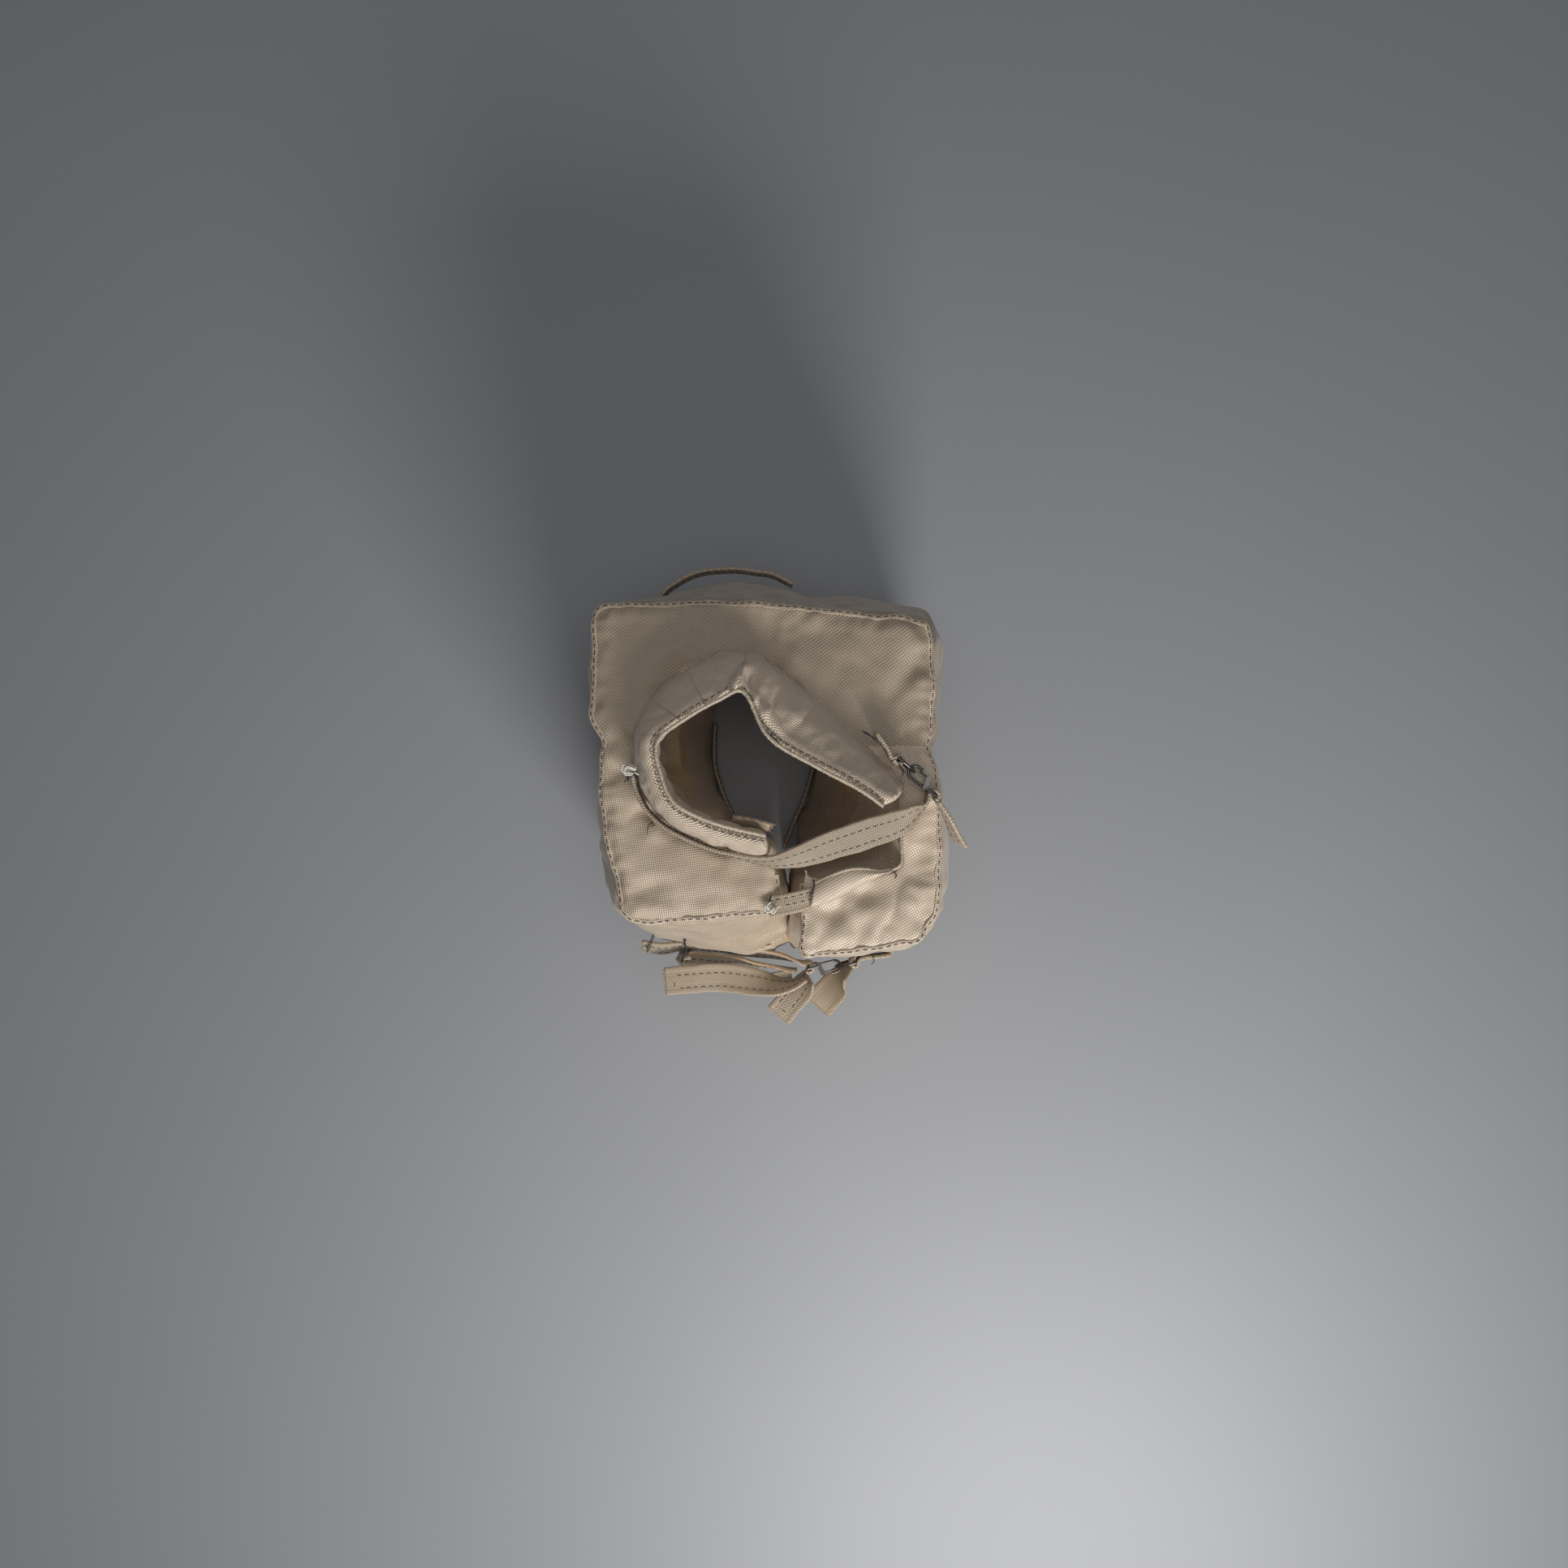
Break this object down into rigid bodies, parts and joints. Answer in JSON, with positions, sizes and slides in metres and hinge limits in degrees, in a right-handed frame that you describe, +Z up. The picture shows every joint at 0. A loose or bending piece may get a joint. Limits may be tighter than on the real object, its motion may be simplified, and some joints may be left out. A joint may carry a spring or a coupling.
{
  "type": "doll-size padded life vest",
  "caption": "Doll-size padded life vest with a stand collar, armholes, tied front, and neck and waist straps closed by wire snap hooks and D-rings.",
  "frame": {"origin": "centre of the overall bounding box, at the height of the hem the vest stands on", "axes": "+Z up from hem to collar, -Y the open front of the vest, +X the side of the neck hook"},
  "size_m": [0.0911, 0.1178, 0.1035],
  "materials": {
    "canvas": "satin",
    "tape": "matte",
    "overlock": "matte",
    "kapok": "matte",
    "wire": "satin"
  },
  "bodies": {
    "vest": {"back_cover": "canvas", "back_filling": "kapok", "back_loop": "tape", "back_top_panel": "canvas", "collar_cover": "canvas", "collar_edge": "overlock", "collar_filling": "kapok", "collar_tie_end": "tape", "left_front_cover": "canvas", "left_front_filling": "kapok", "left_front_top_panel": "canvas", "left_hem_tape": "tape", "neck_ring_tab": "tape", "neck_strap": "tape", "right_front_cover": "canvas", "right_front_filling": "kapok", "right_front_top_panel": "canvas", "right_hem_tape": "tape", "tie_tape_left": "tape", "tie_tape_right": "tape", "waist_ring_tab": "tape", "waist_strap": "tape", "waist_strap_fold": "tape"},
    "neck_ring": {"neck_ring": "wire"},
    "neck_hook": {"neck_hook": "wire", "neck_hook_pin": "wire"},
    "neck_gate": {"neck_hook_gate": "wire"},
    "neck_tail": {"neck_strap_tail": "tape"},
    "waist_ring": {"waist_ring": "wire"},
    "waist_hook": {"waist_hook": "wire", "waist_hook_pin": "wire"},
    "waist_gate": {"waist_hook_gate": "wire"},
    "waist_tail_long": {"waist_tail_long": "tape"},
    "waist_tail_short": {"waist_tail_short": "tape"},
    "waist_tail_tip": {"waist_tail_tip": "tape"},
    "ring_tail": {"ring_tail": "tape"}
  },
  "joints": [
    {"name": "neck_ring_swing", "type": "hinge", "parent": "vest", "child": "neck_ring", "pos_m": [0.02938, 0.00866, 0.0938], "axis": [0, 0, 1], "range_deg": [-4, 4]},
    {"name": "neck_hook_swing", "type": "hinge", "parent": "vest", "child": "neck_hook", "pos_m": [0.0376, 0.0002, 0.0938], "axis": [0, 0, 1], "range_deg": [-3, 3]},
    {"name": "neck_gate_open", "type": "hinge", "parent": "neck_hook", "child": "neck_gate", "pos_m": [0.03655, 0.00402, 0.0938], "axis": [0, 0, 1], "range_deg": [0, 25], "stiffness_Nm_per_rad": 0.0002, "springref_deg": -5.73},
    {"name": "waist_ring_swing", "type": "hinge", "parent": "vest", "child": "waist_ring", "pos_m": [0.02111, -0.04242, 0.056], "axis": [0, 0, 1], "range_deg": [-4, 4]},
    {"name": "waist_hook_swing", "type": "hinge", "parent": "vest", "child": "waist_hook", "pos_m": [0.0094, -0.0438, 0.056], "axis": [0, 0, 1], "range_deg": [-3, 3]},
    {"name": "waist_gate_open", "type": "hinge", "parent": "waist_hook", "child": "waist_gate", "pos_m": [0.01307, -0.0453, 0.056], "axis": [0, 0, 1], "range_deg": [0, 25], "stiffness_Nm_per_rad": 0.0002, "springref_deg": -5.73},
    {"name": "neck_tail_bend", "type": "hinge", "parent": "vest", "child": "neck_tail", "pos_m": [0.039, -0.0018, 0.0934], "axis": [0, 0, 1], "range_deg": [-8, 20], "stiffness_Nm_per_rad": 0.0002},
    {"name": "waist_tail_long_bend", "type": "hinge", "parent": "vest", "child": "waist_tail_long", "pos_m": [0.0054, -0.0479, 0.0582], "axis": [0, 0, 1], "range_deg": [0, 20], "stiffness_Nm_per_rad": 0.0002},
    {"name": "waist_tail_short_bend", "type": "hinge", "parent": "vest", "child": "waist_tail_short", "pos_m": [0.0098, -0.0468, 0.0548], "axis": [-0.8, 0.6, 0], "range_deg": [-8, 15], "stiffness_Nm_per_rad": 0.0002},
    {"name": "waist_tail_tip_bend", "type": "hinge", "parent": "vest", "child": "waist_tail_tip", "pos_m": [0.0052, -0.0466, 0.05105], "axis": [-0.2607, 0.9654, 0], "range_deg": [-5, 15], "stiffness_Nm_per_rad": 0.0002},
    {"name": "ring_tail_bend", "type": "hinge", "parent": "vest", "child": "ring_tail", "pos_m": [0.0202, -0.0453, 0.0545], "axis": [0, 0, 1], "range_deg": [-3, 15], "stiffness_Nm_per_rad": 0.0002}
  ]
}
